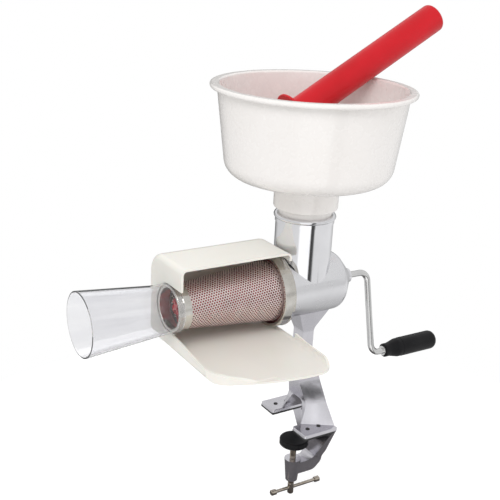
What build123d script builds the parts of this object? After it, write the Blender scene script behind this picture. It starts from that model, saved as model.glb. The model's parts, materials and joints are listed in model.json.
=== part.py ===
from build123d import *
import math
import os

# Hand-cranked food mill: a clamp-on aluminium body with a feed throat and hopper above,
# a screw auger inside a perforated cone in front, and a crank behind.
# Units are millimetres. Everything is modelled about the crossing of the barrel axis (X)
# and the throat axis (Z), with the crank towards +X and the pulp tray towards -Y.
# TO_TABLE then moves it so that z = 0 is the table top under the feet and the clamp screw
# stands on the Z axis.

SCREW_X = 8.5
TABLE_Z = -191.4
TO_TABLE = Pos(-SCREW_X, 0, -TABLE_Z)
RUN = 0.05  # radial running clearance of every shaft

# body casting
BARREL_R = 37.5
BARREL_BORE_R = 34.0
BARREL_FRONT = -47.0
DOME_X = 45.0
BOSS_R = 9.1
BOSS_X = 74.0
THROAT_R = 35.0
THROAT_BORE_R = 32.4
THROAT_TOP = 93.0
LUG_COUNT = 3
LUG_X = (-44.0, -39.0)
LUG_R = 43.6
LUG_ANGLE = 9.0

# feet and clamp frame
FOOT_X = (-12.7, 33.3)
FOOT_Y = (22.5, 51.7)
FOOT_THICK = 4.0
PAD_THICK = 3.0
FOOT_TOP = TABLE_Z + PAD_THICK + FOOT_THICK
STUD_R = 2.7
STUD_X = (1.2, 18.2)
STUD_Y = 37.0
# outer face of a leg, from the stem to the foot: (height, front edge, rear edge), each (x, |y|)
LEG_FACE = ((-84.0, (0.0, 9.0), (19.0, 10.5)), (-130.0, (1.0, 12.0), (29.4, 17.5)),
            (-158.0, (7.0, 18.5), (33.0, 30.0)), (FOOT_TOP, (3.0, 24.0), (36.0, 45.0)))
CLAMP_BOSS_TOP = -249.0
CLAMP_BOSS_END = -281.0
CLAMP_BOSS_R = (11.0, 7.8)

# clamp screw
SCREW_R = 4.1
SCREW_END = -303.0
DISC_R = 19.0
DISC_TOP = -218.5
DISC_THICK = 9.0
BAR_R = 2.2
BAR_Z = -294.0
BAR_LENGTH = 66.0
BAR_MID = 7.5
BAR_KNOB_R = 3.8
BAR_KNOB = 8.0

# drive
SHAFT_R = 6.0
SHAFT_X = (-30.0, 74.6)
CRANK_ROD_R = 4.0
CRANK_X = 105.0
CRANK_BEND = 12.0
CRANK_ANGLE = 13.0
CRANK_ARM = 108.6
GRIP_X = (125.0, 211.0)
GRIP_R = (8.9, 12.2, 12.5)
GRIP_STEP_X = 152.0
AUGER_X = (-167.0, 38.0)
AUGER_PITCH = 30.0
AUGER_SWELL_X = -76.0
AUGER_GAP = 0.9
FLIGHT_DEPTH = 24.0
FLIGHT_THICK = 3.4

# screen
CONE_X = (-48.0, -168.0)
CONE_R = (37.2, 26.0)
CONE_WALL = 0.8
FLANGE_R = 43.0
FLANGE_THICK = 0.6
NOSE_END = -181.8
NOSE_R = 27.5
COLLAR_X = (-50.6, -35.6)
COLLAR_R = 44.5
COLLAR_BORE_R = 44.0
COLLAR_MOUTH_R = 40.1
TWIST = 25.0

# chute
CHUTE_X = (-182.0, -36.0)
CHUTE_WALL = 2.5
CHUTE_TOP = 56.0
CHUTE_BACK = 50.0
CHUTE_OPEN_Y = -30.0
CHUTE_RADIUS = 25.0
CHUTE_EDGE_R = 7.0
FLOOR_Z = (-48.0, -51.3)
FLOOR_RADIUS = 14.0
LIP_Y = -133.0
ARCH_Z = 45.6
NOSE_SLOT_R = 29.7

# splash guard
GUARD_X = (-289.25, -175.0)
GUARD_R = (37.3, 29.2)
GUARD_WALL = 1.6

# hopper
HOPPER_TOP = 245.0
HOPPER_R = (98.4, 111.6)
HOPPER_FLOOR = 132.0
HOPPER_WALL = 2.6
BEAD_R = 120.0
NECK_R = 38.9
NECK_Z = 100.0
PLUG_R = 32.2
PLUG_END = 66.0
PLUG_BORE_R = 29.4

# plunger, leaning in the hopper
PLUNGER_R = 18.0
PLUNGER_TOP = (199.5, 29.3, 317.3)
PLUNGER_TILT = 29.0
PLUNGER_LENGTH = 304.0
STOP_R = 29.5
STOP_FROM_TOP = 232.0


def span(low, high):
    """A box between two opposite corners."""
    size = [high[i] - low[i] for i in range(3)]
    return Pos(*low) * Box(*size, align=(Align.MIN, Align.MIN, Align.MIN))


def rounded(points):
    """Face of a closed outline; a point's third number, if any, is its corner radius."""
    corners = [point[:2] for point in points]
    radii = [point[2] if len(point) > 2 else 0 for point in points]
    return make_face(FilletPolyline(*corners, radius=radii, close=True))


def turned(points, axis=Axis.X):
    """Revolve an outline of (along, radius) points about X or Z."""
    if axis == Axis.X:
        return revolve(rounded(points), axis)
    outline = [(r, along, *corner) for along, r, *corner in points]
    return revolve(Plane.XZ * rounded(outline), axis)


def rod(x0, x1, radius, y=0.0, z=0.0):
    """A round bar along X."""
    return Pos(x0, y, z) * (Rot(0, 90, 0) * Cylinder(
        radius, x1 - x0, align=(Align.CENTER, Align.CENTER, Align.MIN)))


def post(z0, z1, radius, x=0.0, y=0.0):
    """A round bar along Z."""
    return Pos(x, y, z0) * Cylinder(radius, z1 - z0, align=(Align.CENTER, Align.CENTER, Align.MIN))


# ---------------------------------------------------------------- body casting

def barrel_and_throat():
    barrel = turned([(BARREL_FRONT, 0), (BARREL_FRONT, BARREL_R, 0.6), (DOME_X, BARREL_R, 12),
                     (BOSS_X - 5, BOSS_R + 1.5, 3), (BOSS_X - 3, BOSS_R), (BOSS_X, BOSS_R, 0.8),
                     (BOSS_X, 0)])
    throat = post(0, THROAT_TOP - 1.6, THROAT_R)
    lip = Pos(0, 0, THROAT_TOP - 3.1) * Torus(THROAT_R - 0.4, 3.1)
    step = post(THROAT_TOP - 10.5, THROAT_TOP - 6, THROAT_R + 0.8)
    return barrel + throat + lip + step


def barrel_space():
    bore = turned([(BARREL_FRONT - 1, 0), (BARREL_FRONT - 1, BARREL_BORE_R), (40, BARREL_BORE_R),
                   (57, 17), (57, 0)])
    seal_seat = rod(56, 60, 10.0)
    bush_seat = rod(59, BOSS_X + 1, 7.6)
    feed = post(0, THROAT_TOP + 1, THROAT_BORE_R)
    return bore + seal_seat + bush_seat + feed


def bayonet_lugs():
    wedge = turned([(LUG_X[0], BARREL_R - 1), (LUG_X[0], LUG_R), (LUG_X[1], LUG_R),
                    (LUG_X[1], BARREL_R - 1)])
    half = LUG_R * math.tan(math.radians(LUG_ANGLE / 2 + 0.001))
    lug = wedge & span((LUG_X[0], -half, BARREL_R - 2), (LUG_X[1], half, LUG_R + 1))
    return [Rot(90 + 360 / LUG_COUNT * i, 0, 0) * lug for i in range(LUG_COUNT)]


def leg_frame():
    """Stem, splayed legs and clamp frame: a side outline met by a front outline."""
    rear = FOOT_X[1] + 0.4
    low, high = CLAMP_BOSS_TOP - 20, CLAMP_BOSS_TOP - 3.5
    side_line = [(-8, -34), (3, -62, 14), (1, -130, 30), (9, -160, 20), (1, FOOT_TOP),
                 (rear, FOOT_TOP), (rear, high, 9), (SCREW_X, high), (SCREW_X, low),
                 (37, low, 12), (49, -258, 9), (48.5, -240, 20), (38.5, -195, 30),
                 (29.5, -130, 40), (19, -84, 25), (19, -58, 12), (36, -34)]
    side = extrude(Plane.XZ * rounded(side_line), 60, both=True)
    half = [(17, -30), (10.5, -62, 14), (10.5, -84), (45, -130), (51, FOOT_TOP),
            (50, TABLE_Z + 2, 3), (9.5, high, 10), (9.5, low - 5)]
    front = extrude(Plane.YZ * rounded(half + mirrored(half)), 60, both=True)
    arch = [(10, -157, 8), (20, -178, 20), (24, -197, 8), (9, -223, 6)]
    window = extrude(Plane.YZ * rounded(arch + mirrored(arch)), 60, both=True)
    return (side & front) - window - outside_leg(1) - outside_leg(-1)


def mirrored(half):
    """The other side of an outline drawn in Y and Z, in the order that closes it."""
    return [(-y, z, *corner) for y, z, *corner in reversed(half)]


def outside_leg(sign):
    """Room outside a leg's outer face, which twists as it comes down to the foot."""
    sections = []
    for z, front, rear in LEG_FACE:
        front, rear = Vector(*front), Vector(*rear)
        ends = front - (rear - front) * 0.6, rear + (rear - front) * 0.6
        corners = [(end.X, sign * end.Y, z) for end in ends]
        corners += [(end.X, sign * 90, z) for end in reversed(ends)]
        sections.append(make_face(Polyline(*corners, close=True)))
    return loft(sections, ruled=True)


def feet():
    plates = Part()
    for sign in (1, -1):
        y0, y1 = sorted((sign * FOOT_Y[0], sign * FOOT_Y[1]))
        plate = span((FOOT_X[0], y0, FOOT_TOP - FOOT_THICK), (FOOT_X[1] + 3, y1, FOOT_TOP))
        plate = fillet(plate.edges().filter_by(Axis.Z).sort_by(Axis.X)[:2], 3.5)
        plate = chamfer(plate.faces().sort_by(Axis.Z)[-1].edges(), 0.7)
        for x in STUD_X:
            plate -= post(FOOT_TOP - FOOT_THICK - 1, FOOT_TOP + 20, STUD_R, x, sign * STUD_Y)
        plates += plate
    return plates


def clamp_boss():
    boss = Pos(SCREW_X, 0, CLAMP_BOSS_END) * Cone(
        CLAMP_BOSS_R[1], CLAMP_BOSS_R[0], CLAMP_BOSS_TOP - CLAMP_BOSS_END,
        align=(Align.CENTER, Align.CENTER, Align.MIN))
    return boss


def body_casting():
    body = barrel_and_throat() + leg_frame() + feet() + clamp_boss() - barrel_space()
    body -= post(CLAMP_BOSS_END - 1, CLAMP_BOSS_TOP + 1, SCREW_R + RUN, SCREW_X)
    for lug in bayonet_lugs():
        body += lug
    return body


# ---------------------------------------------------------------- drive

def shaft_bushing():
    return turned([(60, SHAFT_R + RUN), (60, 7.6), (BOSS_X, 7.6), (BOSS_X, SHAFT_R + RUN)])


def shaft_seal():
    return turned([(56, SHAFT_R + RUN), (56, 10.0), (60, 10.0), (60, SHAFT_R + RUN)])


def thrust_washer():
    return turned([(54.6, SHAFT_R + RUN), (54.6, 13.0), (56, 13.0), (56, SHAFT_R + RUN)])


def auger_shaft():
    shaft = rod(SHAFT_X[0], SHAFT_X[1], SHAFT_R)
    socket = rod(20, SHAFT_X[1] + 1, CRANK_ROD_R)
    return shaft - socket


def cone_radius(x):
    """Outer radius of the screen cone at a station on the barrel axis."""
    t = (x - CONE_X[0]) / (CONE_X[1] - CONE_X[0])
    return CONE_R[0] + t * (CONE_R[1] - CONE_R[0])


def flight(x0, x1, r0, r1, turn):
    """Helical blade from x0 to x1 whose outer radius runs from r0 to r1."""
    inset = FLIGHT_DEPTH / 2
    cone = math.degrees(math.atan2(r1 - r0, x1 - x0))
    path = Helix(AUGER_PITCH, x1 - x0, r0 - inset, cone_angle=cone)
    section = Plane(origin=path @ 0, x_dir=(1, 0, 0), z_dir=path % 0)
    blade = sweep(section * Rectangle(FLIGHT_DEPTH, FLIGHT_THICK), path=path, is_frenet=True)
    return Pos(x0, 0, 0) * (Rot(0, 90, 0) * (Rot(0, 0, turn) * blade))


def auger():
    """Red screw: a tapering core with a helical flight that follows the cone and the barrel."""
    front, rear = AUGER_X
    start = front + 2
    nose_r = cone_radius(start) - CONE_WALL - AUGER_GAP
    full_r = BARREL_BORE_R - AUGER_GAP
    core = turned([(front - 6, 0), (front - 6, 9, 1), (front, 12.5, 1), (AUGER_SWELL_X, 19, 20),
                   (AUGER_SWELL_X + 30, 16, 20), (rear, 13.5), (rear, 0)])
    turned_by = 360 * (AUGER_SWELL_X - start) / AUGER_PITCH
    screw = core + flight(start, AUGER_SWELL_X, nose_r, full_r, 0)
    screw += flight(AUGER_SWELL_X, rear - 14, full_r, full_r, turned_by)
    spring_seat = rod(rear - 12, rear + 1, 11.0)
    pockets = Part()
    for i in range(4):
        pocket = span((front - 7, 1.4, 1.4), (front + 3, 8, 8))
        pockets += Rot(90 * i + 45, 0, 0) * pocket
    hole = rod(SHAFT_X[0], rear + 1, SHAFT_R)
    return screw - spring_seat - pockets - hole


def auger_spring():
    """Compression spring between the auger and the thrust washer."""
    x0, x1 = AUGER_X[1] - 11.0, 53.4
    path = Pos(x0, 0, 0) * (Rot(0, 90, 0) * Helix(5.2, x1 - x0, 8.6))
    section = Plane(origin=path @ 0, z_dir=path % 0) * Circle(0.9)
    return sweep(section, path=path, is_frenet=True)


def crank_path():
    """Centre line of the bent rod, from inside the shaft to the grip's end."""
    swing = math.radians(CRANK_ANGLE)
    end_y = -CRANK_ARM * math.sin(swing)
    end_z = -CRANK_ARM * math.cos(swing)
    return [(22, 0, 0), (CRANK_X, 0, 0), (CRANK_X, end_y, end_z), (GRIP_X[1] - 7, end_y, end_z)]


def crank_rod():
    points = crank_path()
    path = FilletPolyline(*points, radius=CRANK_BEND)
    section = Plane(origin=path @ 0, z_dir=path % 0) * Circle(CRANK_ROD_R)
    return sweep(section, path=path)


def grip_station():
    return crank_path()[-1][1:]


def grip():
    """Turned handle with a tapered neck, a small step and a rounded end."""
    x0, x1 = GRIP_X
    neck, swell, body = GRIP_R
    bore = CRANK_ROD_R + RUN
    end = x1 - 5.5
    outline = [(x0, bore), (x0, neck, 1.2), (x0 + 8, neck, 12), (x0 + 21, swell, 12),
               (GRIP_STEP_X, swell), (GRIP_STEP_X, body, 0.2), (x1, body, 8),
               (x1, 0), (end, 0), (end, 6.0), (end - 3, 6.0), (end - 3, bore)]
    y, z = grip_station()
    return Pos(0, y, z) * turned(outline)


def grip_retainer():
    """Push-on cap that keeps the grip on the rod, inside the grip's end."""
    end = GRIP_X[1] - 5.5
    rod_end = GRIP_X[1] - 7
    y, z = grip_station()
    cap = turned([(end - 2.6, CRANK_ROD_R), (end - 2.6, 5.6), (end - 0.3, 5.6), (end - 0.3, 0),
                  (rod_end, 0), (rod_end, CRANK_ROD_R)])
    return Pos(0, y, z) * cap


def grip_collar():
    """Steel washer on the rod in front of the grip."""
    y, z = grip_station()
    x0 = GRIP_X[0] - 2.0
    return Pos(0, y, z) * turned([(x0, CRANK_ROD_R), (x0, 6.4), (x0 + 1.6, 6.4),
                                  (x0 + 1.6, CRANK_ROD_R)])


# ---------------------------------------------------------------- screen

def screen_cone():
    """Thin cone with a flat flange at its wide end, held by the collar."""
    (x0, x1), (r0, r1) = CONE_X, CONE_R
    flange_x = x0 - FLANGE_THICK
    return turned([(x0, r0 - CONE_WALL), (x0, FLANGE_R), (flange_x, FLANGE_R), (flange_x, r0),
                   (x1, r1), (x1, r1 - CONE_WALL)])


def screen_nose_ring():
    x0, x1 = CONE_X[1], NOSE_END
    inner = CONE_R[1] + 0.4
    return turned([(x0 + 3, inner), (x0 + 3, NOSE_R, 0.4), (x1, NOSE_R, 0.8),
                   (x1, NOSE_R - 3.6, 0.8), (x0, NOSE_R - 3.6, 0.8), (x0, inner)])


def screen_collar():
    """Rolled steel ring that slips over the barrel and turns under the lugs."""
    x0, x1 = COLLAR_X
    mouth, bore, lip = COLLAR_MOUTH_R, COLLAR_BORE_R, BARREL_R + 1.6
    seat = CONE_X[0] - FLANGE_THICK
    ring = turned([(seat, mouth), (x0, mouth, 0.6), (x0, COLLAR_R, 1.2), (x1 - 2, COLLAR_R, 0.4),
                   (x1 - 1.6, COLLAR_R + 0.5, 0.3), (x1, COLLAR_R + 0.5, 0.4), (x1, lip),
                   (x1 - 1, lip), (x1 - 1, bore), (seat, bore)])
    for i in range(LUG_COUNT):
        entry = span((x1 - 3, -5.2, 36), (x1 + 1, 5.2, 48))
        ring -= Rot(90 + TWIST + 360 / LUG_COUNT * i, 0, 0) * entry
    return ring


def screen_gasket():
    """Flat rubber ring between the screen's flange and the barrel's front face."""
    x1 = BARREL_FRONT - RUN
    inner, outer = CONE_R[0] - CONE_WALL, FLANGE_R - 2
    return turned([(CONE_X[0], inner), (CONE_X[0], outer), (x1, outer), (x1, inner)])


# ---------------------------------------------------------------- chute and guard

def channel_line(inset):
    """Hood, back and sloping floor seen along X, offset inwards from the outer face."""
    top, back, front = CHUTE_TOP - inset, CHUTE_BACK - inset, LIP_Y - 20
    floor = [FLOOR_Z[0] + inset, FLOOR_Z[1] + inset]
    return rounded([(front, top), (back, top, CHUTE_RADIUS - inset),
                    (back, floor[0], FLOOR_RADIUS - inset), (front, floor[1])])


def tray_plan(inset):
    """Plan of the chute with a bowed lip, its rear corner further out than its front one."""
    x0, x1 = CHUTE_X[0] + inset, CHUTE_X[1] - inset
    far, back = LIP_Y + inset, CHUTE_BACK + 5
    corner, bow = (x0 + 24, far + 21), (x0 + 72, far + 5.5)
    outline = (Line((x0, back), (x0, far + 47))
               + ThreePointArc((x0, far + 47), (x0 + 7.5, far + 31), corner)
               + ThreePointArc(corner, bow, (x1 - 22, far))
               + ThreePointArc((x1 - 22, far), (x1 - 6, far + 8), (x1, far + 26))
               + Line((x1, far + 26), (x1, back)) + Line((x1, back), (x0, back)))
    return make_face(outline)


def across(face, x0, x1):
    """Extrude an outline drawn in Y and Z from x0 to x1."""
    return Pos(x0, 0, 0) * extrude(Plane.YZ * face, x1 - x0)


def chute_block(inset):
    """Everything inside the chute's faces, with the hood's end edges rounded over."""
    low = FLOOR_Z[1] - 5
    block = across(channel_line(inset), CHUTE_X[0] + inset, CHUTE_X[1] - inset)
    ends = block.faces().filter_by(Axis.X).edges()
    hood = [edge for edge in ends if edge.center().Z > CHUTE_TOP / 2]
    plan = Pos(0, 0, low) * extrude(tray_plan(inset), CHUTE_TOP - low + 5)
    return fillet(hood, CHUTE_EDGE_R - inset) & plan


def chute():
    """Pressed hood and tray: a thin shell, open towards -Y, with cut-away end walls."""
    x0, x1 = CHUTE_X
    low, floor = FLOOR_Z[1] - 5, FLOOR_Z[1] + CHUTE_WALL + 0.2
    lip = [(60, CHUTE_TOP + 5), (60, low), (LIP_Y - 5, low), (LIP_Y - 5, floor)]
    front = lip + [(LIP_Y + 14, floor), (LIP_Y + 20, -43.5), (-102, -38.8), (-10.6, -28.5),
                   (CHUTE_OPEN_Y, -20), (CHUTE_OPEN_Y, CHUTE_TOP + 5)]
    rear = lip + [(LIP_Y + 7, floor), (LIP_Y + 14, -47), (LIP_Y + 24, -42.8), (-72, -41.4),
                  (-33, -36.7), (CHUTE_OPEN_Y, ARCH_Z), (CHUTE_OPEN_Y, CHUTE_TOP + 5)]
    middle = (x0 + x1) / 2
    kept = across(make_face(Polyline(*front, close=True)), x0, middle)
    kept += across(make_face(Polyline(*rear, close=True)), middle, x1)
    nose_slot = rod(x0 - 1, x0 + 4, NOSE_SLOT_R)
    nose_slot += span((x0 - 1, CHUTE_OPEN_Y - 5, -25.5), (x0 + 4, 0, NOSE_SLOT_R))
    arch = span((x1 - 6, CHUTE_OPEN_Y - 20, FLOOR_Z[0] + CHUTE_WALL), (x1 + 1, ARCH_Z, ARCH_Z))
    arch = fillet(arch.edges().filter_by(Axis.X).sort_by(Axis.Y)[-2:], 12)
    return (chute_block(0) - chute_block(CHUTE_WALL)) & kept - nose_slot - arch


def splash_guard():
    (x0, x1), (r0, r1) = GUARD_X, GUARD_R
    w = GUARD_WALL
    return turned([(x0, r0 - w), (x0 + 0.4, r0), (-200, r1), (x1, r1), (x1, r1 - w),
                   (-200, r1 - w), (x0 + 1.5, r0 - w)])


# ---------------------------------------------------------------- hopper and plunger

def hopper():
    """Bowl with a rolled rim, a rounded floor and a neck that plugs into the throat."""
    w = HOPPER_WALL
    floor, top = HOPPER_FLOOR, HOPPER_TOP
    low_r, top_r = HOPPER_R
    outline = [(PLUG_END, PLUG_BORE_R), (PLUG_END, PLUG_R, 0.8), (NECK_Z, PLUG_R),
               (NECK_Z, NECK_R, 2.2), (floor, NECK_R, 3), (floor + 6, low_r, 22),
               (top - 5.6, top_r, 1), (top - 5.6, BEAD_R, 2.6), (top, BEAD_R, 2.6),
               (top, top_r - w, 2.6), (floor + 6 + w, low_r - w, 22 - w), (floor + w, NECK_R - w, 5),
               (NECK_Z + 9, NECK_R - w, 3), (NECK_Z + 4, PLUG_BORE_R, 3)]
    return turned(outline, Axis.Z)


def leaning(solid):
    """Place a solid built downwards along -Z so that it leans with its top at the rest point."""
    return Pos(*PLUNGER_TOP) * (Rot(0, 90 - PLUNGER_TILT, 0) * solid)


def plunger_tube():
    end = 5 - PLUNGER_LENGTH
    wall = 2.0
    outer = turned([(0, 0), (0, PLUNGER_R, 4.5), (end, PLUNGER_R), (end, PLUNGER_R - wall),
                    (-wall, PLUNGER_R - wall, 2.5), (-wall, 0)], Axis.Z)
    return leaning(outer)


def plunger_stop():
    z = -STOP_FROM_TOP
    disc = turned([(z, PLUNGER_R), (z, STOP_R, 0.8), (z - 3, STOP_R, 0.8), (z - 3, PLUNGER_R)], Axis.Z)
    return leaning(disc)


def plunger_foot():
    """Domed cap that closes the plunger's working end."""
    z, r = -PLUNGER_LENGTH, PLUNGER_R
    cap = turned([(z + 12, r - 4), (z + 12, r - 2), (z + 5, r - 2), (z + 5, r), (z, r, 3.5),
                  (z, 0), (z + 2, 0), (z + 2, r - 4, 2)], Axis.Z)
    return leaning(cap)


# ---------------------------------------------------------------- clamp

def foot_pad(sign):
    y0, y1 = sorted((sign * FOOT_Y[0], sign * FOOT_Y[1]))
    pad = span((FOOT_X[0] + 0.6, y0 + 0.6, TABLE_Z), (FOOT_X[1] - 0.4, y1 - 0.6, TABLE_Z + PAD_THICK))
    for x in STUD_X:
        pad += post(TABLE_Z + 1, FOOT_TOP + 0.5, STUD_R, x, sign * STUD_Y)
    return pad


def pressure_disc():
    z0, z1 = DISC_TOP - DISC_THICK, DISC_TOP
    seat = SCREW_R + RUN
    disc = turned([(z1, 0), (z1, DISC_R - 1.2), (z1 - 1.2, DISC_R), (z0 + 1.2, DISC_R),
                   (z0, DISC_R - 1.2), (z0, 9.5), (z0 - 3.5, 8.0), (z0 - 3.5, seat), (z1 - 4, seat),
                   (z1 - 4, 0)], Axis.Z)
    return Pos(SCREW_X, 0, 0) * disc


def clamp_screw():
    z1, z0 = DISC_TOP - 4.05, SCREW_END
    shank = turned([(z1, 0), (z1, SCREW_R), (z0 + 1.6, SCREW_R), (z0, SCREW_R - 1.8), (z0, 0)], Axis.Z)
    hole = rod(-20, 20, BAR_R + RUN, 0, BAR_Z)
    return Pos(SCREW_X, 0, 0) * (shank - hole)


def bar_ends():
    return BAR_MID + SCREW_X - BAR_LENGTH / 2, BAR_MID + SCREW_X + BAR_LENGTH / 2


def tommy_bar():
    x0, x1 = bar_ends()
    return rod(x0 - 2, x1 + 2, BAR_R, 0, BAR_Z)


def bar_knob(end):
    """Upset button on an end of the bar, along X from the bar's shoulder."""
    x0, x1 = bar_ends()
    r, length = BAR_KNOB_R, BAR_KNOB
    shape = turned([(-2, BAR_R), (-2, r - 0.7), (-1.3, r), (length - 3, r), (length - 2, r - 1.2),
                    (length - 2, 0), (2, 0), (2, BAR_R)])
    if end > 0:
        return Pos(x1, 0, BAR_Z) * shape
    return Pos(x0, 0, BAR_Z) * (Rot(0, 180, 0) * shape)


NODES = {
    "body_casting": body_casting,
    "shaft_bushing": shaft_bushing,
    "shaft_seal": shaft_seal,
    "thrust_washer": thrust_washer,
    "auger_shaft": auger_shaft,
    "auger": auger,
    "auger_spring": auger_spring,
    "crank_rod": crank_rod,
    "grip_collar": grip_collar,
    "crank_grip": grip,
    "grip_retainer": grip_retainer,
    "screen_cone": screen_cone,
    "screen_nose_ring": screen_nose_ring,
    "screen_collar": screen_collar,
    "screen_gasket": screen_gasket,
    "chute": chute,
    "splash_guard": splash_guard,
    "hopper": hopper,
    "plunger_tube": plunger_tube,
    "plunger_stop": plunger_stop,
    "plunger_foot": plunger_foot,
    "foot_pad_left": lambda: foot_pad(1),
    "foot_pad_right": lambda: foot_pad(-1),
    "pressure_disc": pressure_disc,
    "clamp_screw": clamp_screw,
    "tommy_bar": tommy_bar,
    "bar_knob_front": lambda: bar_knob(-1),
    "bar_knob_rear": lambda: bar_knob(1),
}

os.makedirs("parts", exist_ok=True)
for name, build in NODES.items():
    export_step(TO_TABLE * build(), f"parts/{name}.step")
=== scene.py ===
import json
import math

import bmesh
import bpy
from mathutils import Matrix, Vector, geometry


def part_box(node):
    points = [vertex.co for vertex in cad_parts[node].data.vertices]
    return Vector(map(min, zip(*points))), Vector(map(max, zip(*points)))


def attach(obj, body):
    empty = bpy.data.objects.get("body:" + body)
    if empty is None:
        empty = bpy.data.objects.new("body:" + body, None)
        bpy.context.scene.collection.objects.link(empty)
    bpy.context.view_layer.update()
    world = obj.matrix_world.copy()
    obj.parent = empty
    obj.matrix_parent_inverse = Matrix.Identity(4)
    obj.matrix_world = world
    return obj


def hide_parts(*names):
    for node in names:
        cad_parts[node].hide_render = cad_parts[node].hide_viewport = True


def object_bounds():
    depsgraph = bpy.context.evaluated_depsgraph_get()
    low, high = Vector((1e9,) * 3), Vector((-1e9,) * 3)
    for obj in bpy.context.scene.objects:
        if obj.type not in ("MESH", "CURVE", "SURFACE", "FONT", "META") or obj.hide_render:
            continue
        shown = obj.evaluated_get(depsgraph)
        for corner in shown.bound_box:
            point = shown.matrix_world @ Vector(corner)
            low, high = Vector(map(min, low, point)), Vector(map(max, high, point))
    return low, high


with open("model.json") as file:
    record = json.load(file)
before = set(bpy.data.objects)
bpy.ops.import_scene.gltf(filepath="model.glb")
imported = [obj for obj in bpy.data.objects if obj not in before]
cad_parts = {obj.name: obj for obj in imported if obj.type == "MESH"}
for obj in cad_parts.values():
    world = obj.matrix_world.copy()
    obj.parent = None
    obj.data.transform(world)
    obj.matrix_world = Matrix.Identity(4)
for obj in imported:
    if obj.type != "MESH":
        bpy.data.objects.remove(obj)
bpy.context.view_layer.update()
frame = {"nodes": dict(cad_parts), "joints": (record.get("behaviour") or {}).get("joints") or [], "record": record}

MM = 0.001
X_WAY, Y_WAY, Z_WAY = Vector((1, 0, 0)), Vector((0, 1, 0)), Vector((0, 0, 1))
NODES = frame["nodes"]
JOINTS = {joint["name"]: joint for joint in frame["joints"]}
AXIS = Vector(JOINTS["crank_spin"]["pos_m"])  # where the barrel axis meets the throat axis
BODY_OF = {node: body for body, nodes in frame["record"]["behaviour"]["bodies"].items()
           for node in nodes}


def at(x, y, z):
    """A point given in millimetres from the crossing of the barrel and throat axes."""
    return AXIS + Vector((x, y, z)) * MM


# ---------------------------------------------------------------- mesh helpers

WELD_GAP = 0.002


def new_object(name, bm, smooth_angle=35):
    """Turn a bmesh into an object, smooth except across edges sharper than the angle."""
    limit = math.radians(smooth_angle)
    for edge in bm.edges:
        edge.smooth = len(edge.link_faces) != 2 or edge.calc_face_angle(0) < limit
    for face in bm.faces:
        face.smooth = True
    mesh = bpy.data.meshes.new(name)
    bm.to_mesh(mesh)
    bm.free()
    obj = bpy.data.objects.new(name, mesh)
    bpy.context.scene.collection.objects.link(obj)
    return obj


def stand_for(obj, node):
    """Ride on the node's body in its place."""
    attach(obj, BODY_OF[node])
    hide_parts(node)


def apply_modifiers(obj):
    graph = bpy.context.evaluated_depsgraph_get()
    mesh = bpy.data.meshes.new_from_object(obj.evaluated_get(graph))
    old = obj.data
    obj.modifiers.clear()
    obj.data = mesh
    bpy.data.meshes.remove(old)


def softened(node, width, angle=38):
    """A copy of a CAD node with its edges sharper than the angle rounded over."""
    bm = bmesh.new()
    bm.from_mesh(NODES[node].data)
    bmesh.ops.remove_doubles(bm, verts=bm.verts, dist=WELD_GAP * MM)
    obj = new_object(node + "_soft", bm, angle)
    bevel = obj.modifiers.new("edges", "BEVEL")
    bevel.width = width * MM
    bevel.segments = 2
    bevel.limit_method = "ANGLE"
    bevel.angle_limit = math.radians(angle)
    bevel.use_clamp_overlap = True
    weighted = obj.modifiers.new("normals", "WEIGHTED_NORMAL")
    weighted.keep_sharp = True
    bpy.context.view_layer.update()
    apply_modifiers(obj)
    return obj


def add_ring(bm, centre, axis_u, axis_v, radius, count):
    verts = []
    for i in range(count):
        t = 2 * math.pi * i / count
        verts.append(bm.verts.new(centre + radius * (math.cos(t) * axis_u + math.sin(t) * axis_v)))
    return verts


def bridge(bm, ring_a, ring_b, material_index=0):
    count = len(ring_a)
    for i in range(count):
        j = (i + 1) % count
        face = bm.faces.new((ring_a[i], ring_a[j], ring_b[j], ring_b[i]))
        face.material_index = material_index


def close_ends(bm, first_ring, last_ring):
    bm.faces.new(first_ring)
    bm.faces.new(list(reversed(last_ring)))
    bmesh.ops.recalc_face_normals(bm, faces=bm.faces)


# ---------------------------------------------------------------- perforated screen

CONE_LOW, CONE_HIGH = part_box("screen_cone")
CONE_WALL = 0.7
CAD_WALL = 0.8
CONE_STEPS = 120
FLANGE_THICK = 0.6
HOLE_PITCH = 3.2
HOLE_R = 1.1
HOLE_SIDES = 10
PLAIN_MARGIN = 3.4  # unpierced sheet at either end of the cone
SEAM_MARGIN = 1.7  # and beside the rolled seam
ROW_START = 0.8  # the rows start at this share of the inner arc's radius
NOSE_BAND, REAR_BAND = 0.5, 0.1  # the CAD cone's ends are measured this near their edges
WELD_LIMIT = 1e-5
SHEET_EDGE, ADDED_POINT = -1, -2  # marks of the points that no hole owns
SCREEN_SHADE_SLOT = 1  # material slot of the inside, the hole walls and the flange, all painted dark as shade


def cone_size():
    """Ends of the cone along the barrel and its outer radius at each, in millimetres."""
    nose_x, rear_x = (CONE_LOW.x - AXIS.x) / MM, (CONE_HIGH.x - AXIS.x) / MM
    verts = [v.co for v in NODES["screen_cone"].data.vertices]
    nose_r = max(math.hypot(co.y - AXIS.y, co.z - AXIS.z) for co in verts
                 if co.x < CONE_LOW.x + NOSE_BAND * MM) / MM
    rear_r = min(math.hypot(co.y - AXIS.y, co.z - AXIS.z) for co in verts
                 if co.x > CONE_HIGH.x - REAR_BAND * MM) / MM + CAD_WALL
    return nose_x, rear_x, nose_r, rear_r


NOSE_X, REAR_X, NOSE_R, REAR_R = cone_size()
CONE_SLOPE = math.atan2(REAR_R - NOSE_R, REAR_X - NOSE_X)
SLANT_LOW, SLANT_HIGH = NOSE_R / math.sin(CONE_SLOPE), REAR_R / math.sin(CONE_SLOPE)
SECTOR = 2 * math.pi * math.sin(CONE_SLOPE)  # angle that the flat sheet covers


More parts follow.
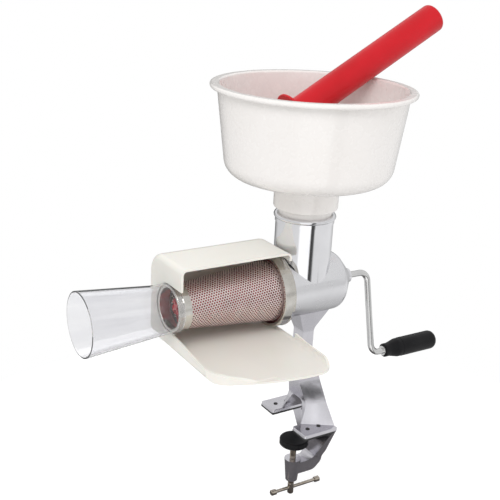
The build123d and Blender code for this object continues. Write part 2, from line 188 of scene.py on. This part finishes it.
def sheet_border():
    """Edge of the flat sheet: the wide end's arc, then the nose's arc back."""
    shares = [i / CONE_STEPS for i in range(CONE_STEPS + 1)]
    arcs = ([(SLANT_HIGH, SECTOR * (share - 0.5)) for share in shares]
            + [(SLANT_LOW, SECTOR * (0.5 - share)) for share in shares])
    return [Vector((slant * math.cos(t), slant * math.sin(t))) for slant, t in arcs]


def hole_centres():
    """Staggered rows across the flat sheet, clear of its plain margins."""
    row_gap = HOLE_PITCH * math.sqrt(3) / 2
    rows = int(SLANT_HIGH * math.sin(SECTOR / 2) / row_gap)
    for row in range(-rows, rows + 1):
        y = row * row_gap
        x = SLANT_LOW * ROW_START + (HOLE_PITCH / 2 if row % 2 else 0)
        while x < SLANT_HIGH:
            slant, turn = math.hypot(x, y), math.atan2(y, x)
            inside = SLANT_LOW + PLAIN_MARGIN < slant < SLANT_HIGH - PLAIN_MARGIN
            if inside and slant * (SECTOR / 2 - abs(turn)) > SEAM_MARGIN:
                yield x, y
            x += HOLE_PITCH


def loop_edges(first, count):
    return [(first + k, first + (k + 1) % count) for k in range(count)]


def perforated_sheet():
    """Points and triangles of the flat sheet, with its holes left open."""
    points = sheet_border()
    owners = [SHEET_EDGE] * len(points)
    edges = loop_edges(0, len(points))
    for hole, (x, y) in enumerate(hole_centres()):
        edges += loop_edges(len(points), HOLE_SIDES)
        for k in range(HOLE_SIDES):
            t = 2 * math.pi * k / HOLE_SIDES
            points.append(Vector((x + HOLE_R * math.cos(t), y + HOLE_R * math.sin(t))))
            owners.append(hole)
    flat, _, faces, origins, _, _ = geometry.delaunay_2d_cdt(points, edges, [], 0, WELD_LIMIT)
    owner_of = [owners[origin[0]] if origin else ADDED_POINT for origin in origins]
    inner_limit = SLANT_LOW * math.cos(SECTOR / CONE_STEPS)
    sheet = []
    for face in faces:
        owners_here = {owner_of[v] for v in face}
        fills_hole = len(owners_here) == 1 and min(owners_here) >= 0
        middle = sum((flat[v] for v in face), Vector((0, 0))) / 3
        on_sheet = (inner_limit < middle.length < SLANT_HIGH
                    and abs(math.atan2(middle.y, middle.x)) <= SECTOR / 2)
        if on_sheet and not fills_hole:
            sheet.append(face)
    return flat, sheet


def rolled(point, inset):
    """Where a point of the flat sheet lies on the cone, or this far inside its outer face."""
    slant, turn = point.length, math.atan2(point.y, point.x)
    angle = turn / math.sin(CONE_SLOPE) + math.pi / 2
    radius = slant * math.sin(CONE_SLOPE) - inset * math.cos(CONE_SLOPE)
    x = NOSE_X + (slant - SLANT_LOW) * math.cos(CONE_SLOPE)
    return at(x, radius * math.cos(angle), radius * math.sin(angle))


def add_flange(bm):
    """Flat ring at the wide end of the cone, which the collar holds, painted dark as the shaded gap there."""
    flange_r = (CONE_HIGH.z - CONE_LOW.z) / 2 / MM
    front_x, bore_r = REAR_X - FLANGE_THICK, REAR_R - CONE_WALL
    outline = [(REAR_X, bore_r), (REAR_X, flange_r), (front_x, flange_r), (front_x, bore_r)]
    rings = [add_ring(bm, at(x, 0, 0), Y_WAY, Z_WAY, r * MM, CONE_STEPS) for x, r in outline]
    for first, second in zip(rings, rings[1:] + rings[:1]):
        bridge(bm, first, second, SCREEN_SHADE_SLOT)


def perforated_cone():
    """Sheet with staggered holes, cut flat as a sector and rolled into the cone."""
    flat, sheet = perforated_sheet()
    bm = bmesh.new()
    outer = [bm.verts.new(rolled(point, 0)) for point in flat]
    inner = [bm.verts.new(rolled(point, CONE_WALL)) for point in flat]
    for face in sheet:
        bm.faces.new([outer[v] for v in face])
        bm.faces.new([inner[v] for v in reversed(face)]).material_index = SCREEN_SHADE_SLOT
    behind = dict(zip(outer, inner))
    for edge in [e for e in bm.edges if len(e.link_faces) == 1 and e.verts[0] in behind]:
        a, b = edge.verts
        bm.faces.new((a, b, behind[b], behind[a])).material_index = SCREEN_SHADE_SLOT
    add_flange(bm)
    loose = [v for v in bm.verts if not v.link_faces]
    bmesh.ops.delete(bm, geom=loose, context="VERTS")
    bmesh.ops.recalc_face_normals(bm, faces=bm.faces)
    obj = new_object("screen_perforated", bm)
    stand_for(obj, "screen_cone")
    return obj


# ---------------------------------------------------------------- spring

SPRING_WIRE_R = 0.9
SPRING_TURNS = 5
SPRING_STEPS = 28
WIRE_SIDES = 10


def coiled_spring():
    """Compression spring, as one swept wire."""
    low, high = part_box("auger_spring")
    wire_r = SPRING_WIRE_R * MM
    start, end = low.x + wire_r, high.x - wire_r
    coil_r = (high.z - low.z) / 2 - wire_r
    count = SPRING_TURNS * SPRING_STEPS
    bm = bmesh.new()
    rings = []
    for i in range(count + 1):
        turn = 2 * math.pi * i / SPRING_STEPS
        outward = Vector((0, math.cos(turn), math.sin(turn)))
        centre = Vector((start + (end - start) * i / count, AXIS.y, AXIS.z)) + outward * coil_r
        rings.append(add_ring(bm, centre, outward, X_WAY, wire_r, WIRE_SIDES))
    for first, second in zip(rings, rings[1:]):
        bridge(bm, first, second)
    close_ends(bm, rings[0], rings[-1])
    obj = new_object("spring_coil", bm, 60)
    stand_for(obj, "auger_spring")
    return obj


# ---------------------------------------------------------------- clamp screw

SCREW_PITCH = 2.0
THREAD_DEPTH = 0.75
THREAD_STEPS = 28
# Places along one pitch and the thread's height there, from 0 at the root to 1 at the crest.
THREAD_FORM = [(0.00, 1.0), (0.16, 1.0), (0.38, 0.0), (0.62, 0.0), (0.84, 1.0)]
PLAIN_ABOVE_BAR = 2.5
RUNOUT_PITCHES = 2
RUNOUT_SHARE = 0.2  # the thread starts at this share of its depth
# Steps of the plain end: height above the lowest point and how far in from the full radius.
SCREW_TIP = [(1.6, 0.0), (0.5, 1.0), (0.0, 2.2)]


def thread_ring(bm, centre, radius, low_z, high_z, level, height):
    """One turn of points that climbs a pitch, from a place on the thread given in pitches."""
    ring = []
    for k in range(THREAD_STEPS):
        share = k / THREAD_STEPS
        z = min(max(low_z + (level + share) * SCREW_PITCH * MM, low_z), high_z)
        fade = min(1.0, max(0.0, (z - low_z) / (RUNOUT_PITCHES * SCREW_PITCH * MM)))
        depth = THREAD_DEPTH * (1 - height) * min(1.0, RUNOUT_SHARE + fade)
        r = (radius - depth) * MM
        t = 2 * math.pi * share
        ring.append(bm.verts.new((centre.x + r * math.cos(t), centre.y + r * math.sin(t), z)))
    return ring


def threaded_screw():
    """The clamp screw: a helical thread that runs out above the bar, and a plain end."""
    low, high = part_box("clamp_screw")
    bar_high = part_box("tommy_bar")[1]
    centre = (low + high) / 2
    radius = (high.x - low.x) / 2 / MM
    thread_low = bar_high.z + PLAIN_ABOVE_BAR * MM
    turns = int((high.z - thread_low) / (SCREW_PITCH * MM))
    bm = bmesh.new()
    rings = [thread_ring(bm, centre, radius, thread_low, high.z, turn + offset, height)
             for turn in range(turns + 1) for offset, height in THREAD_FORM]
    for first, second in zip(rings, rings[1:]):
        bridge(bm, first, second)
    last = rings[0]
    for rise, inset in SCREW_TIP:
        tip_centre = Vector((centre.x, centre.y, low.z + rise * MM))
        ring = add_ring(bm, tip_centre, X_WAY, Y_WAY, (radius - inset) * MM, THREAD_STEPS)
        bridge(bm, ring, last)
        last = ring
    close_ends(bm, last, rings[-1])
    obj = new_object("clamp_screw_threaded", bm, 40)
    stand_for(obj, "clamp_screw")
    return obj


# ---------------------------------------------------------------- shader helpers

EVEN = (1, 1, 1)
COLOUR_STOPS = (0.35, 0.65)  # noise levels where a patchy colour starts and stops changing
GLOSS_STOPS = (0.25, 0.75)  # and the same for a patchy gloss
PATCH_DETAIL, GRAIN_DETAIL = 4.0, 2.0


def node_tree(name):
    material = bpy.data.materials.new(name)
    material.use_nodes = True
    tree = material.node_tree
    shader = tree.nodes["Principled BSDF"]
    place = tree.nodes.new("ShaderNodeTexCoord").outputs["Object"]
    return material, tree, shader, place


def noise(tree, place, scale, detail, stretch):
    """Noise whose scale is in waves per metre, stretched along an axis by a factor below 1."""
    mapping = tree.nodes.new("ShaderNodeMapping")
    mapping.inputs["Scale"].default_value = stretch
    tree.links.new(place, mapping.inputs["Vector"])
    texture = tree.nodes.new("ShaderNodeTexNoise")
    texture.inputs["Scale"].default_value = scale
    texture.inputs["Detail"].default_value = detail
    tree.links.new(mapping.outputs["Vector"], texture.inputs["Vector"])
    return texture.outputs["Fac"]


def ranged(tree, value, from_span, to_span=(0, 1)):
    """The value rescaled from one span to another and held within it."""
    scaled = tree.nodes.new("ShaderNodeMapRange")
    scaled.inputs["From Min"].default_value, scaled.inputs["From Max"].default_value = from_span
    scaled.inputs["To Min"].default_value, scaled.inputs["To Max"].default_value = to_span
    tree.links.new(value, scaled.inputs["Value"])
    return scaled.outputs["Result"]


def colour_ramp(tree, value, stops):
    """Colours along a value from 0 to 1; each stop is (place, (red, green, blue))."""
    node = tree.nodes.new("ShaderNodeValToRGB")
    elements = node.color_ramp.elements
    for place, _ in stops[1:-1]:
        elements.new(place)
    for element, (place, colour) in zip(elements, stops):
        element.position = place
        element.color = (*colour, 1)
    tree.links.new(value, node.inputs["Fac"])
    return node.outputs["Color"]


def blended(tree, factor, first, second, blend="MIX"):
    """Two colours blended; factor and second may be a socket or a plain value."""
    mix = tree.nodes.new("ShaderNodeMixRGB")
    mix.blend_type = blend
    tree.links.new(first, mix.inputs["Color1"])
    for name, given in (("Fac", factor), ("Color2", second)):
        if isinstance(given, bpy.types.NodeSocket):
            tree.links.new(given, mix.inputs[name])
        else:
            mix.inputs[name].default_value = given
    return mix.outputs["Color"]


def calculated(tree, operation, first, second, clamp=False):
    """A number from two others; each may be a socket or a plain value."""
    node = tree.nodes.new("ShaderNodeMath")
    node.operation = operation
    node.use_clamp = clamp
    for socket, given in zip(node.inputs, (first, second)):
        if isinstance(given, bpy.types.NodeSocket):
            tree.links.new(given, socket)
        else:
            socket.default_value = given
    return node.outputs["Value"]


def bump(tree, height, strength, distance):
    node = tree.nodes.new("ShaderNodeBump")
    node.inputs["Strength"].default_value = strength
    node.inputs["Distance"].default_value = distance
    tree.links.new(height, node.inputs["Height"])
    return node.outputs["Normal"]


# ---------------------------------------------------------------- materials

def finish_material(name, colours, roughness, patch, grain, relief, metallic=0.0, **sockets):
    """Principled surface: patchy colour, patchy gloss and a fine surface relief.

    patch and grain are (waves per metre, stretch); relief is (strength, distance in metres).
    """
    material, tree, shader, place = node_tree(name)
    patches = noise(tree, place, patch[0], PATCH_DETAIL, patch[1])
    grains = noise(tree, place, grain[0], GRAIN_DETAIL, grain[1])
    base = colour_ramp(tree, patches, list(zip(COLOUR_STOPS, colours)))
    tree.links.new(base, shader.inputs["Base Color"])
    tree.links.new(ranged(tree, grains, GLOSS_STOPS, roughness), shader.inputs["Roughness"])
    tree.links.new(bump(tree, grains, *relief), shader.inputs["Normal"])
    shader.inputs["Metallic"].default_value = metallic
    for socket, value in sockets.items():
        shader.inputs[socket.replace("_", " ")].default_value = value
    return material


SHADE_REACH = 0.012  # metres inside the screen's nose where the painted shade is full
PAINTED_SHADE_RED = (0.42, 0.008, 0.020, 1)


def auger_material():
    """Red plastic, bright at the tip and darkened by painted shade where it sits inside the screen."""
    material = finish_material(
        "auger_red", ((0.62, 0.010, 0.025), (0.70, 0.016, 0.032)), (0.30, 0.40), (14, EVEN),
        (700, EVEN), (0.03, 0.0002))
    tree = material.node_tree
    base = tree.nodes["Principled BSDF"].inputs["Base Color"]
    split = tree.nodes.new("ShaderNodeSeparateXYZ")
    place = tree.nodes.new("ShaderNodeTexCoord").outputs["Object"]
    tree.links.new(place, split.inputs["Vector"])
    # Darker red from the screen's nose inward: painted shade.
    depth = ranged(tree, split.outputs["X"], (CONE_LOW.x, CONE_LOW.x + SHADE_REACH))
    unshaded = base.links[0].from_socket
    tree.links.new(blended(tree, depth, unshaded, PAINTED_SHADE_RED), base)
    return material


WHITE_PLASTIC = finish_material(
    "white_plastic", ((0.83, 0.80, 0.775), (0.85, 0.825, 0.805)), (0.24, 0.30), (9, EVEN),
    (90, EVEN), (0.002, 0.0002), Coat_Weight=0.45, Coat_Roughness=0.07)
IVORY_PLASTIC = finish_material(
    "ivory_plastic", ((0.80, 0.78, 0.72), (0.83, 0.81, 0.755)), (0.28, 0.36), (11, EVEN),
    (260, EVEN), (0.012, 0.0002), Coat_Weight=0.2, Coat_Roughness=0.18,
    Subsurface_Weight=0.08, Subsurface_Scale=0.003)
RED_PLASTIC = finish_material(
    "red_plastic", ((0.52, 0.003, 0.009), (0.60, 0.005, 0.014)), (0.34, 0.44), (14, EVEN),
    (120, EVEN), (0.004, 0.0002), Specular_IOR_Level=0.28, Coat_Weight=0.14,
    Coat_Roughness=0.08)
CLEAR_PLASTIC = finish_material(
    "clear_plastic", ((0.84, 0.84, 0.86), (0.92, 0.92, 0.93)), (0.02, 0.05), (45, (0.15, 1, 1)),
    (70, (0.15, 1, 1)), (0.12, 0.0006), Transmission_Weight=0.98, IOR=1.49)
BLACK_PLASTIC = finish_material(
    "black_plastic", ((0.006, 0.006, 0.007), (0.012, 0.012, 0.013)), (0.30, 0.42), (20, EVEN),
    (1500, EVEN), (0.06, 0.0002), Specular_IOR_Level=0.16)
BLACK_RUBBER = finish_material(
    "black_rubber", ((0.018, 0.018, 0.019), (0.030, 0.029, 0.028)), (0.55, 0.72), (30, EVEN),
    (1800, EVEN), (0.15, 0.0002))
AUGER_RED = auger_material()
NYLON = finish_material(
    "nylon", ((0.70, 0.68, 0.60), (0.75, 0.73, 0.66)), (0.38, 0.50), (40, EVEN),
    (1200, EVEN), (0.05, 0.0001))
POLISHED_THROAT = finish_material(
    "polished_throat", ((0.74, 0.74, 0.76), (0.80, 0.80, 0.82)), (0.05, 0.10), (25, EVEN),
    (300, (1, 1, 0.1)), (0.008, 0.0002), metallic=1.0)
SATIN_ALUMINIUM = finish_material(
    "satin_aluminium", ((0.76, 0.76, 0.78), (0.82, 0.82, 0.84)), (0.26, 0.30), (22, EVEN),
    (60, EVEN), (0.001, 0.0002), metallic=1.0)
# The leg's colour varies in vertically stretched patches, painted reflections of the surroundings.
POLISHED_LEG = finish_material(
    "polished_leg", ((0.62, 0.61, 0.65), (0.68, 0.67, 0.71)), (0.18, 0.24),
    (48, (1, 1, 0.35)), (120, EVEN), (0.002, 0.0002), metallic=1.0)
STAINLESS = finish_material(
    "stainless", ((0.66, 0.66, 0.66), (0.74, 0.74, 0.73)), (0.10, 0.20), (40, EVEN),
    (900, (0.2, 1, 1)), (0.03, 0.0001), metallic=1.0)
# Pink tint of the screen's steel: partly juice stain, partly painted reflection of the red auger.
SCREEN_STEEL_STAIN_AND_REFLECTION = finish_material(
    "screen_steel_stain_and_reflection", ((0.79, 0.62, 0.595), (0.87, 0.70, 0.67)), (0.30, 0.38), (60, EVEN),
    (900, EVEN), (0.01, 0.0001), metallic=0.75)
ROLLED_STEEL = finish_material(
    "rolled_steel", ((0.56, 0.54, 0.50), (0.70, 0.68, 0.64)), (0.10, 0.20), (50, EVEN),
    (700, (1, 0.2, 0.2)), (0.04, 0.0001), metallic=1.0)
PLATED_STEEL = finish_material(
    "plated_steel", ((0.42, 0.37, 0.31), (0.54, 0.49, 0.43)), (0.12, 0.22), (70, EVEN),
    (900, EVEN), (0.05, 0.0001), metallic=1.0)
DARK_STEEL = finish_material(
    "dark_steel", ((0.50, 0.50, 0.51), (0.60, 0.60, 0.61)), (0.22, 0.34), (60, EVEN),
    (900, EVEN), (0.05, 0.0001), metallic=1.0)
# Inside, hole walls and flange of the screen: dark as painted shade, with a red tint that is partly juice stain,
# partly painted reflection of the auger.
SCREEN_PAINTED_SHADE = finish_material(
    "screen_painted_shade", ((0.060, 0.014, 0.016), (0.085, 0.022, 0.024)), (0.4, 0.6), (60, EVEN),
    (900, EVEN), (0.03, 0.0001), metallic=0.3)

NODE_MATERIAL = {
    "body_casting": SATIN_ALUMINIUM, "shaft_bushing": NYLON, "shaft_seal": BLACK_RUBBER,
    "thrust_washer": NYLON, "auger_shaft": DARK_STEEL, "auger": AUGER_RED,
    "auger_spring": DARK_STEEL, "crank_rod": STAINLESS, "grip_collar": STAINLESS,
    "crank_grip": BLACK_PLASTIC, "grip_retainer": DARK_STEEL, "screen_cone": SCREEN_STEEL_STAIN_AND_REFLECTION,
    "screen_nose_ring": ROLLED_STEEL, "screen_collar": ROLLED_STEEL,
    "screen_gasket": BLACK_RUBBER, "chute": IVORY_PLASTIC, "splash_guard": CLEAR_PLASTIC,
    "hopper": WHITE_PLASTIC, "plunger_tube": RED_PLASTIC, "plunger_stop": RED_PLASTIC,
    "plunger_foot": RED_PLASTIC, "foot_pad_left": BLACK_RUBBER, "foot_pad_right": BLACK_RUBBER,
    "pressure_disc": BLACK_PLASTIC, "clamp_screw": PLATED_STEEL, "tommy_bar": PLATED_STEEL,
    "bar_knob_front": PLATED_STEEL, "bar_knob_rear": PLATED_STEEL,
}

# Where the casting's finishes meet, in millimetres from the barrel and throat axes.
THROAT_FLOOR = 30
THROAT_REACH = 40.0
BARREL_REACH = 38.2
BARREL_REAR = 44.0


def paint(obj, *materials):
    obj.data.materials.clear()
    for material in materials:
        obj.data.materials.append(material)


def paint_casting(obj):
    """Mirror-bright throat, satin barrel and polished leg and clamp frame."""
    throat, barrel, leg = range(3)
    paint(obj, POLISHED_THROAT, SATIN_ALUMINIUM, POLISHED_LEG)
    for face in obj.data.polygons:
        x, y, z = (face.center - AXIS) / MM
        around = math.hypot(y, z)
        if z > THROAT_FLOOR and math.hypot(x, y) < THROAT_REACH and around > BARREL_REACH:
            face.material_index = throat
        elif around < BARREL_REACH or x > BARREL_REAR:
            face.material_index = barrel
        else:
            face.material_index = leg


for node_name, node_material in NODE_MATERIAL.items():
    paint(NODES[node_name], node_material)

# The cone's faces already say which material they wear, and paint() would clear that.
cone_mesh = perforated_cone().data
for cone_material in (SCREEN_STEEL_STAIN_AND_REFLECTION, SCREEN_PAINTED_SHADE):
    cone_mesh.materials.append(cone_material)
paint(threaded_screw(), PLATED_STEEL)
paint(coiled_spring(), DARK_STEEL)

casting = softened("body_casting", 0.9, angle=22)
stand_for(casting, "body_casting")
paint_casting(casting)
shell = softened("chute", 0.6)
stand_for(shell, "chute")
paint(shell, IVORY_PLASTIC)


# ---------------------------------------------------------------- camera

CAMERA_AT = Vector((-0.6483, -0.8762, 0.6112))
CAMERA_AZIMUTH, CAMERA_DOWN, CAMERA_ROLL = 32.77, 19.28, 2.99
CAMERA_LENS = 67.74


def add_camera():
    data = bpy.data.cameras.new("photo_view")
    data.lens = CAMERA_LENS
    data.sensor_width = 36
    camera = bpy.data.objects.new("photo_view", data)
    bpy.context.scene.collection.objects.link(camera)
    turn = Matrix.Rotation(math.radians(-CAMERA_AZIMUTH), 4, "Z")
    tilt = Matrix.Rotation(math.radians(90 - CAMERA_DOWN), 4, "X")
    roll = Matrix.Rotation(math.radians(CAMERA_ROLL), 4, "Z")
    camera.matrix_world = Matrix.Translation(CAMERA_AT) @ turn @ tilt @ roll
    bpy.context.scene.camera = camera


# ---------------------------------------------------------------- floor and dark card

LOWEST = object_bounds()[0][2]
DISC_SIDES = 128
FLOOR_RADIUS, FLOOR_DROP = 0.6, 0.045  # the drop keeps the lowered clamp screw off the floor
CARD_RADIUS, CARD_DROP = 0.17, 0.002


def add_disc(name, radius, drop, material, unseen_by):
    """A level disc under the machine, left out of the named kinds of ray."""
    bm = bmesh.new()
    centre = Vector((AXIS.x, AXIS.y, LOWEST - drop))
    bm.faces.new(add_ring(bm, centre, X_WAY, Y_WAY, radius, DISC_SIDES))
    disc = new_object(name, bm)
    paint(disc, material)
    for ray in unseen_by:
        setattr(disc, "visible_" + ray, False)


def add_floor():
    paper = finish_material(
        "floor_paper", ((0.90, 0.90, 0.90), (0.92, 0.92, 0.92)), (0.75, 0.85), (3, EVEN),
        (300, EVEN), (0.02, 0.0005), Emission_Color=(1, 1, 1, 1), Emission_Strength=0.2)
    add_disc("floor", FLOOR_RADIUS, FLOOR_DROP, paper, ("glossy",))


def add_dark_card():
    """A dark card under the clamp that shows only in reflections."""
    card = finish_material(
        "card_paper", ((0.13, 0.122, 0.126), (0.14, 0.132, 0.136)), (0.8, 0.9), (3, EVEN),
        (300, EVEN), (0.02, 0.0005))
    add_disc("dark_card", CARD_RADIUS, CARD_DROP, card,
             ("camera", "diffuse", "transmission", "shadow"))


# ---------------------------------------------------------------- lights and studio

# Name, place and size in metres, and power in watts. All aim at the same point.
LIGHTS = [
    ("key", (-1.6, -1.2, 2.2), (1.6, 1.2), 30),
    ("fill", (1.6, -1.6, 1.0), (1.2, 1.6), 7),
    ("back", (0.4, 2.0, 1.6), (2.0, 1.0), 9),
]
LIGHT_TARGET = Vector((0, 0, 0.2))

# Levels round the studio, from behind the object, past its left, the camera and its right.
AROUND = [(0.0, 0.06), (0.07, 0.30), (0.14, 0.75), (0.44, 0.85), (0.455, 1.3), (0.565, 1.3),
          (0.575, 0.05), (0.605, 0.10), (0.62, 0.85), (0.85, 0.90), (0.95, 0.50), (1.0, 0.06)]
# Levels from straight down to straight up.
HEIGHT = [(0.0, 0.50), (0.28, 1.0), (0.42, 1.0), (0.46, 0.75), (0.52, 0.75), (0.57, 0.95),
          (1.0, 1.0)]
# An even light overhead takes over between these heights of a direction.
SKY_SPAN = (0.15, 0.30)
SKY_COLOUR = (0.80, 0.80, 0.80, 1)
WHITE = (1, 1, 1, 1)


def add_area(name, location, size, power):
    """Soft light that reflections don't show; they show the studio's levels instead."""
    light = bpy.data.lights.new(name, "AREA")
    light.shape = "RECTANGLE"
    light.size, light.size_y = size
    light.energy = power
    obj = bpy.data.objects.new(name, light)
    bpy.context.scene.collection.objects.link(obj)
    obj.location = location
    obj.rotation_euler = (LIGHT_TARGET - Vector(location)).to_track_quat("-Z", "Y").to_euler()
    obj.visible_glossy = False


def grey_ramp(tree, value, span, stops):
    """Grey levels along a value's span; each stop is (place from 0 to 1, level)."""
    greys = [(place, (level, level, level)) for place, level in stops]
    return colour_ramp(tree, ranged(tree, value, span), greys)


def add_world():
    """White for the camera; a studio of light and dark bands for light and reflections."""
    world = bpy.data.worlds.new("studio")
    bpy.context.scene.world = world
    world.use_nodes = True
    tree = world.node_tree
    turn = tree.nodes.new("ShaderNodeMapping")
    turn.inputs["Rotation"].default_value = (0, 0, math.radians(CAMERA_AZIMUTH))
    tree.links.new(tree.nodes.new("ShaderNodeTexCoord").outputs["Generated"],
                   turn.inputs["Vector"])
    split = tree.nodes.new("ShaderNodeSeparateXYZ")
    tree.links.new(turn.outputs["Vector"], split.inputs["Vector"])
    right, away, up = split.outputs
    azimuth = calculated(tree, "ARCTAN2", right, calculated(tree, "MULTIPLY", away, -1))
    around = grey_ramp(tree, azimuth, (-math.pi, math.pi), AROUND)
    height = grey_ramp(tree, up, (-1, 1), HEIGHT)
    bands = blended(tree, 1, around, height, "MULTIPLY")
    studio = blended(tree, ranged(tree, up, SKY_SPAN), bands, SKY_COLOUR)
    path = tree.nodes.new("ShaderNodeLightPath").outputs
    through = calculated(tree, "SUBTRACT", path["Is Transmission Ray"], path["Glossy Depth"],
                         clamp=True)
    straight = calculated(tree, "MAXIMUM", path["Is Camera Ray"], through)
    background = tree.nodes["Background"].inputs["Color"]
    tree.links.new(blended(tree, straight, studio, WHITE), background)


add_floor()
add_dark_card()
add_world()
add_camera()
for light_setting in LIGHTS:
    add_area(*light_setting)
bpy.context.scene.view_settings.view_transform = "Standard"
